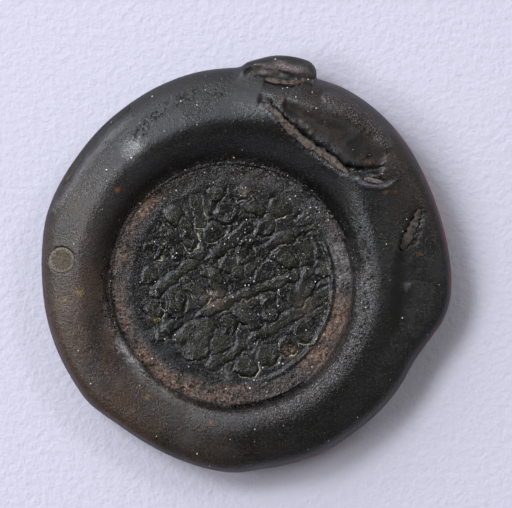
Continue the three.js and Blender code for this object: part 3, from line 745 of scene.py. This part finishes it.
# The deposits: a patch laid on the glass as it was before the seat was cut, with a grainy crown and a root
crust = {
    "cellAlong": 0.06, "cellAcross": 0.05,
    "swell": 0.03,  # from the edge to the middle
    "grain": 0.035, "grainLength": 0.16,
    "lump": 0.05, "lumpLength": 0.5,
    "stray": 0.5, "strayLength": 0.6, "strayFine": 0.2,  # how unevenly the width runs
    "edgeRoot": 0.1, "flatRoot": 0.12,  # depth at the edge, and how much of the seat's depth stays free
    "coarseNoise": 0.32, "fineNoise": 0.11,
    "bump": 0.035, "rough": 0.85,
}
crustPieces = {}
for name, size in deposits.items():
    path = smoothPath(onRim(size["path"]), 12)
    length = np.linalg.norm(np.diff(path, axis=0), axis=1).sum()
    cellsAlong = max(int(length / crust["cellAlong"]), 24)
    cellsAcross = max(int(size["width"] / crust["cellAcross"]), 10)
    bm = bmesh.new()
    rim = bm.verts.layers.float.new("rim")
    bmesh.ops.create_grid(bm, x_segments=cellsAlong, y_segments=cellsAcross, size=1)
    top = bmesh.ops.extrude_face_region(bm, geom=bm.faces[:])["geom"]
    upper = {v for v in top if isinstance(v, bmesh.types.BMVert)}
    reach = np.linspace(0, 1, len(path))
    for v in bm.verts:
        u, w = v.co.x, v.co.y
        if name == "bubble_crust":  # a round one
            middle = path.mean(axis=0)
            px = middle[0] + u * math.sqrt(1 - w * w / 2) * size["width"] / 2
            py = middle[1] + w * math.sqrt(1 - u * u / 2) * size["width"] / 2
            edge = min(math.hypot(px - middle[0], py - middle[1]) / (size["width"] / 2), 1)
        else:
            t = (1 + math.sin(u * math.pi / 2)) / 2
            px, py = (np.interp(t, reach, axis) for axis in path.T)
            ahead, behind = min(t + 0.01, 1), max(t - 0.01, 0)
            tx, ty = (np.interp(ahead, reach, axis) - np.interp(behind, reach, axis) for axis in path.T)
            norm = math.hypot(tx, ty)
            stray = 1 + crust["stray"] * noise.noise(Vector((px, py, 9)) / crust["strayLength"])
            stray += crust["stray"] * noise.noise(Vector((px, py, 4)) / crust["strayFine"])
            wide = size["width"] / 2 * max((1 - (2 * t - 1) ** 4), 0.004) ** 0.5 * stray
            px, py = px - ty / norm * w * wide, py + tx / norm * w * wide
            edge = max(abs(w), abs(2 * t - 1) ** 6)
        ground, normal, _, _ = uncut.ray_cast(Vector((px, py, 20)), Vector((0, 0, -1)))
        if not ground:
            ground, normal, _, _ = uncut.find_nearest(Vector((px, py, weight["crestHeight"])))
        crown = math.sqrt(max(1 - edge ** 4, 0))
        v[rim] = edge if name != "edge_crust" else max(edge, 1.1 - 1.3 * t)  # darker to its lower end
        if v in upper:
            grain = noise.noise(Vector((px, py, 1)) / crust["grainLength"]) * crust["grain"]
            grain += noise.noise(Vector((px, py, 5)) / crust["lumpLength"]) * crust["lump"]
            v.co = ground + normal * (-size["sink"] + (size.get("crown", 0) + crust["swell"] + grain) * crown)
        else:
            v.co = ground - normal * (crust["edgeRoot"] + (size["depth"] - crust["flatRoot"]) * crown)
        v.co = dieCentre + v.co * mm
    bmesh.ops.recalc_face_normals(bm, faces=bm.faces)
    title = name.replace("crust", "deposit")
    crustPieces[name] = addPiece(title, finishMesh(bm, title), name)
print("deposits laid")


# Materials
def colour(text):  # sRGB hex to linear
    parts = [int(text[i:i + 2], 16) / 255 for i in (1, 3, 5)]
    return [p / 12.92 if p <= 0.04045 else ((p + 0.055) / 1.055) ** 2.4 for p in parts] + [1]


def addNode(tree, kind, sockets=None, **settings):
    node = tree.nodes.new(kind)
    for key, value in settings.items():
        setattr(node, key, value)
    for key, value in (sockets or {}).items():
        if isinstance(value, bpy.types.NodeSocket):
            tree.links.new(value, node.inputs[key])
        else:
            node.inputs[key].default_value = value
    return node


def newMaterial(name, piece):
    material = bpy.data.materials.new(name)
    material.use_nodes = True
    tree = material.node_tree
    tree.nodes.clear()
    shader = addNode(tree, "ShaderNodeBsdfPrincipled")
    addNode(tree, "ShaderNodeOutputMaterial", {"Surface": shader.outputs[0]})
    piece.data.materials.append(material)
    spot = addNode(tree, "ShaderNodeTexCoord").outputs["Object"]
    return tree, shader, spot


# Soda-lime glass, pressed hot and then buried: almost opaque, with a satin weathered skin that scatters its
# highlights, thin places that let brown light through, and lime and rust from the soil on it
# Light painted into the colour: black shade in the hollow, the creases, the pits and between the marks; pale
# sheen, flecks, sparkles and glint lines where the highlights fall; a red glow where light comes through the
# thin edge
glassLook = {
    "skin": "#090a0a", "skinPale": "#16171a", "plate": "#22221a", "brown": "#403126", "hollow": "#030303",
    "bloom": "#7a5e4c", "pale": "#77726f", "film": "#595a60", "foldBrown": "#22170f", "tabPale": "#6b6060",
    "rust": "#6e4420", "ochre": "#6e5a24", "red": "#781a14", "edge": "#cfc6a4",
    "speck": "#e8e5db", "fleck": "#625b58", "grit": "#282824",
    "mottle": 1.8, "grain": 0.2, "fine": 0.085, "speckle": 0.12,  # lengths of the noise, in millimetres
    "speckSpacing": 0.28, "pitSpacing": 0.3,
    "smooth": 0.2, "rough": 0.33,
    "bump": 0.035,
}
tree, shader, spotSocket = newMaterial("weathered_soda_lime_glass", glassPiece)
masked = {
    name: addNode(tree, "ShaderNodeAttribute", attribute_name=name).outputs["Fac"]
    for name in masks
}
mottle, grain, fine, speckle = (
    addNode(
        tree, "ShaderNodeTexNoise",
        {"Vector": spotSocket, "Scale": 1 / (glassLook[name] * mm), "Detail": detail},
    ).outputs[0]
    for name, detail in (("mottle", 5), ("grain", 3), ("fine", 2), ("speckle", 2))
)
pits, dust = (
    addNode(tree, "ShaderNodeTexVoronoi", {"Vector": spotSocket, "Scale": 1 / (glassLook[name] * mm)})
    for name in ("pitSpacing", "speckSpacing")
)
chance = addNode(tree, "ShaderNodeSeparateColor", {0: dust.outputs["Color"]}).outputs  # three for each cell
# each noise or mask with two of its values, and what those become
eased = {
    name: addNode(tree, "ShaderNodeMapRange", dict(enumerate(row))).outputs[0]
    for name, row in {
        "patchy": (mottle, 0.35, 0.65, 0, 1),
        "gritty": (speckle, 0.5, 0.66, 0, 1),
        "broken": (grain, 0.34, 0.58, 0, 1),  # the grain of the skin breaks the soil stains and the painted sheen up
        "flecked": (speckle, 0.5, 0.64, 0, 1),
        "freckled": (fine, 0.34, 0.68, 0.3, 1.8),
        "whole": (grain, 0.42, 0.5, 0, 1),  # where the painted glint lines aren't broken
        "onMark": (masked["markGap"], -0.22, -0.1, 1, 0),
        "offMark": (masked["markGap"], -0.14, -0.02, 0, 1),
        "filled": (masked["grime"], 0.7, 1, 0, 0.85),
        "needed": (masked["dust"], 0, 2, 0.93, 0.2),  # the chance that a cell needs for a pale speck
        "dotSize": (chance[1], 0, 1, 0.19, 0.33),
        "faded": (chance[2], 0, 1, 0.25, 1),
        "rough": (mottle, 0.3, 0.7, glassLook["smooth"], glassLook["rough"]),
        "coarser": (masked["pocked"], -1, 2, 0.1, 2.2),
    }.items()
}
pit = addNode(
    tree, "ShaderNodeMath", {0: grain, 1: 1.3, 2: pits.outputs["Distance"]}, operation="MULTIPLY_ADD"
).outputs[0]
pit = addNode(tree, "ShaderNodeMapRange", {0: pit, 1: 0.86, 2: 1.06, 3: 1, 4: 0}).outputs[0]
# painted glints: thin bright lines along the lower edges of some marks
offLine = addNode(tree, "ShaderNodeMath", {0: masked["markGap"], 1: 0.05}, operation="SUBTRACT").outputs[0]
offLine = addNode(tree, "ShaderNodeMath", {0: offLine}, operation="ABSOLUTE").outputs[0]
line = addNode(tree, "ShaderNodeMapRange", {0: offLine, 1: 0.01, 2: 0.036, 3: 0.9, 4: 0}).outputs[0]
# dust and painted sparkle: a ragged pale speck in some of the cells, more of them round the border, at the
# glare and in the fold
chosen = addNode(
    tree, "ShaderNodeMath", {0: chance[0], 1: eased["needed"]}, operation="GREATER_THAN"
).outputs[0]
ragged = addNode(
    tree, "ShaderNodeMath", {0: fine, 1: 0.28, 2: dust.outputs["Distance"]}, operation="MULTIPLY_ADD"
).outputs[0]
speck = addNode(
    tree, "ShaderNodeMath", {0: ragged, 1: eased["dotSize"]}, operation="LESS_THAN"
).outputs[0]
shares = {}
for name, factors in {
    "plate": (eased["onMark"], masked["inField"]),
    "channel": (eased["offMark"], masked["grime"]),
    "pit": (pit, masked["pitted"]),
    "fleck": (eased["flecked"], masked["spotty"]),
    "edge": (line, eased["whole"], masked["glint"]),
    "speck": (chosen, speck, eased["faded"]),
    **{stainAndSheen: (masked[stainAndSheen], eased["broken"]) for stainAndSheen in ("bloom", "pale", "rust", "ochre")},
}.items():
    shares[name] = factors[0]
    for factor in factors[1:]:
        shares[name] = addNode(
            tree, "ShaderNodeMath", {0: shares[name], 1: factor}, operation="MULTIPLY"
        ).outputs[0]
# the colours go on one over another, from the bare skin outwards
base = addNode(
    tree, "ShaderNodeMix",
    {0: eased["patchy"], 6: colour(glassLook["skin"]), 7: colour(glassLook["skinPale"])}, data_type="RGBA",
).outputs[2]
layers = [("grit", eased["gritty"])]
layers += [(name, masked[name]) for name in ("brown", "foldBrown", "film", "tabPale", "red")]
# black painted as shade between the marks where the dark patches lie, and over the darkest patches
layers += [("plate", shares["plate"]), ("hollow", shares["channel"]), ("hollow", eased["filled"])]
layers += [(name, shares[name]) for name in ("bloom", "pale", "rust", "ochre")]
# black painted into the pits and creases as shade, then pale flecks as painted sheen where the highlights
# fall
layers += [("hollow", shares["pit"]), ("hollow", masked["soot"]), ("fleck", shares["fleck"])]
layers += [("freckled", 1), ("edge", shares["edge"]), ("speck", shares["speck"])]
for name, share in layers:
    over = colour(glassLook[name]) if name in glassLook else eased[name]
    blend = "MIX" if name in glassLook else "MULTIPLY"
    base = addNode(
        tree, "ShaderNodeMix", {0: share, 6: base, 7: over}, data_type="RGBA", blend_type=blend
    ).outputs[2]
tree.links.new(base, shader.inputs["Base Color"])
rough = addNode(
    tree, "ShaderNodeMath", {0: eased["rough"], 1: masked["rougher"]}, operation="ADD", use_clamp=True
).outputs[0]
tree.links.new(rough, shader.inputs["Roughness"])
shader.inputs["IOR"].default_value = 1.5
top = addNode(tree, "ShaderNodeMath", {0: fine, 1: 1.1, 2: grain}, operation="MULTIPLY_ADD").outputs[0]
top = addNode(tree, "ShaderNodeMath", {0: top, 1: eased["coarser"]}, operation="MULTIPLY").outputs[0]
top = addNode(tree, "ShaderNodeMath", {0: shares["pit"], 1: -6, 2: top}, operation="MULTIPLY_ADD").outputs[0]
bump = addNode(tree, "ShaderNodeBump", {"Height": top, "Distance": glassLook["bump"] * mm, "Strength": 1})
tree.links.new(bump.outputs[0], shader.inputs["Normal"])

# Burial deposits: lime, clay and iron salts set hard in the folds, matt and grainy. Pale, dark and margin.
crustLooks = {
    "fold_crust": ("lime_and_clay_deposit", "#675c54", "#2b2520", "#171310"),
    "lip_crust": ("pink_clay_deposit", "#756969", "#4b4140", "#2c2625"),
    "edge_crust": ("lime_and_clay_deposit_edge", "#4e463f", "#1a1714", "#100f0e"),
    "tab_crust": ("iron_stained_deposit", "#5e534c", "#33251a", "#231a14"),
    "bubble_crust": ("lime_deposit_bubble", "#544c40", "#40382b", "#6f6a5d"),
}
for name, (title, pale, dark, margin) in crustLooks.items():
    tree, shader, spotSocket = newMaterial(title, crustPieces[name])
    grain, fine = (
        addNode(
            tree, "ShaderNodeTexNoise",
            {"Vector": spotSocket, "Scale": 1 / (crust[length] * mm), "Detail": 5, "Roughness": 0.6},
        ).outputs[0]
        for length in ("coarseNoise", "fineNoise")
    )
    # the dark margin is ragged, and small holes are as dark
    margins = addNode(tree, "ShaderNodeAttribute", attribute_name="rim").outputs["Fac"]
    margins = addNode(
        tree, "ShaderNodeMath", {0: fine, 1: 0.9, 2: margins}, operation="MULTIPLY_ADD"
    ).outputs[0]
    patchy, margins, holes, freckled = (
        addNode(tree, "ShaderNodeMapRange", dict(enumerate(row))).outputs[0]
        for row in (
            (grain, 0.38, 0.56, 0, 1), (margins, 1.14, 1.36, 0, 0.9), (fine, 0.6, 0.68, 0, 0.85),
            (fine, 0.35, 0.65, 0.6, 1.5),
        )
    )
    margins = addNode(tree, "ShaderNodeMath", {0: margins, 1: holes}, operation="MAXIMUM").outputs[0]
    base = colour(dark)
    for share, over, blend in (
        (patchy, colour(pale), "MIX"), (margins, colour(margin), "MIX"), (1, freckled, "MULTIPLY"),
    ):
        base = addNode(
            tree, "ShaderNodeMix", {0: share, 6: base, 7: over}, data_type="RGBA", blend_type=blend
        ).outputs[2]
    tree.links.new(base, shader.inputs["Base Color"])
    shader.inputs["Roughness"].default_value = crust["rough"]
    bump = addNode(tree, "ShaderNodeBump", {"Height": fine, "Distance": crust["bump"] * mm, "Strength": 1})
    tree.links.new(bump.outputs[0], shader.inputs["Normal"])
print("materials made")

# The stage: pale paper, with a window and a broad sky at the upper left, a smaller window at the upper right
# and a pale wall at the left. Lamps have azimuth, elevation, distance, two sizes, watts and tint.
stage = {
    "paper": "#d2d1e0",
    "paperSize": 1.2,
    "paperGrain": 0.5, "paperBump": 0.13,  # millimetres
    "imageWidth": 35.05,  # millimetres across the picture, at the height of the belly
    "pictureMiddle": (0.64, 0.69),
    "cameraHeight": 450,
    "sensor": 36,
    "lamps": {
        "window": (143, 56, 0.5, 0.15, 0.13, 1.1, "#eef3ff"),
        "sky": (136, 33, 0.6, 0.9, 0.6, 2.55, "#f8f9ff"),
        "secondWindow": (42, 52, 0.5, 0.14, 0.08, 0.32, "#fbfbff"),
        "wall": (184, 54, 0.5, 0.16, 0.16, 0.65, "#fbfbff"),
    },
    "roomDark": "#8a8682", "roomPale": "#f9f4ef",
    "roomStrength": 0.4, "overheadStrength": 0.13,  # darker straight overhead, where the camera hangs
}
bm = bmesh.new()
bmesh.ops.create_grid(bm, x_segments=4, y_segments=4, size=stage["paperSize"] / 2)
paper = bpy.data.objects.new("paper", finishMesh(bm, "paper"))
scene.collection.objects.link(paper)
# Drawing paper: unsized pulp pressed between felts, so matt, with a soft uneven grain
tree, shader, spotSocket = newMaterial("drawing_paper", paper)
shader.inputs["Base Color"].default_value = colour(stage["paper"])
shader.inputs["Roughness"].default_value = 0.9
paperGrain = addNode(
    tree, "ShaderNodeTexNoise",
    {"Vector": spotSocket, "Scale": 1 / (stage["paperGrain"] * mm), "Detail": 8, "Roughness": 0.6},
).outputs[0]
bump = addNode(
    tree, "ShaderNodeBump", {"Height": paperGrain, "Distance": stage["paperBump"] * mm, "Strength": 1}
)
tree.links.new(bump.outputs[0], shader.inputs["Normal"])

cameraData = bpy.data.cameras.new("camera")
camera = bpy.data.objects.new("camera", cameraData)
scene.collection.objects.link(camera)
cameraData.sensor_width = stage["sensor"]
cameraData.lens = stage["sensor"] * stage["cameraHeight"] / stage["imageWidth"]
cameraData.clip_start, cameraData.clip_end = 0.01, 10
camera.location = Vector((*stage["pictureMiddle"], stage["cameraHeight"] + weight["bellyHeight"])) * mm
scene.camera = camera

for name, (azimuth, elevation, distance, sizeX, sizeY, power, tint) in stage["lamps"].items():
    data = bpy.data.lights.new(name, "AREA")
    data.shape = "RECTANGLE"
    data.size, data.size_y = sizeX, sizeY
    data.energy = power
    data.color = colour(tint)[:3]
    lamp = bpy.data.objects.new(name, data)
    scene.collection.objects.link(lamp)
    a, e = math.radians(azimuth), math.radians(elevation)
    lamp.location = Vector((math.cos(a) * math.cos(e), math.sin(a) * math.cos(e), math.sin(e))) * distance
    lamp.rotation_mode = "QUATERNION"
    lamp.rotation_quaternion = lamp.location.to_track_quat("Z", "Y")

world = bpy.data.worlds.new("room")
scene.world = world
world.use_nodes = True
tree = world.node_tree
background = tree.nodes["Background"]
direction = addNode(tree, "ShaderNodeTexCoord").outputs["Generated"]
direction = addNode(tree, "ShaderNodeSeparateXYZ", {0: direction}).outputs
towards = addNode(tree, "ShaderNodeMapRange", {0: direction["Y"], 1: -1, 2: 0.3}).outputs[0]
room = addNode(
    tree, "ShaderNodeMix", {0: towards, 6: colour(stage["roomDark"]), 7: colour(stage["roomPale"])},
    data_type="RGBA",
).outputs[2]
tree.links.new(room, background.inputs["Color"])
overhead = addNode(
    tree, "ShaderNodeMapRange",
    {0: direction["Z"], 1: 0.86, 2: 0.99, 3: stage["roomStrength"], 4: stage["overheadStrength"]},
).outputs[0]
tree.links.new(overhead, background.inputs["Strength"])
scene.view_settings.view_transform = "Standard"
print("stage set")
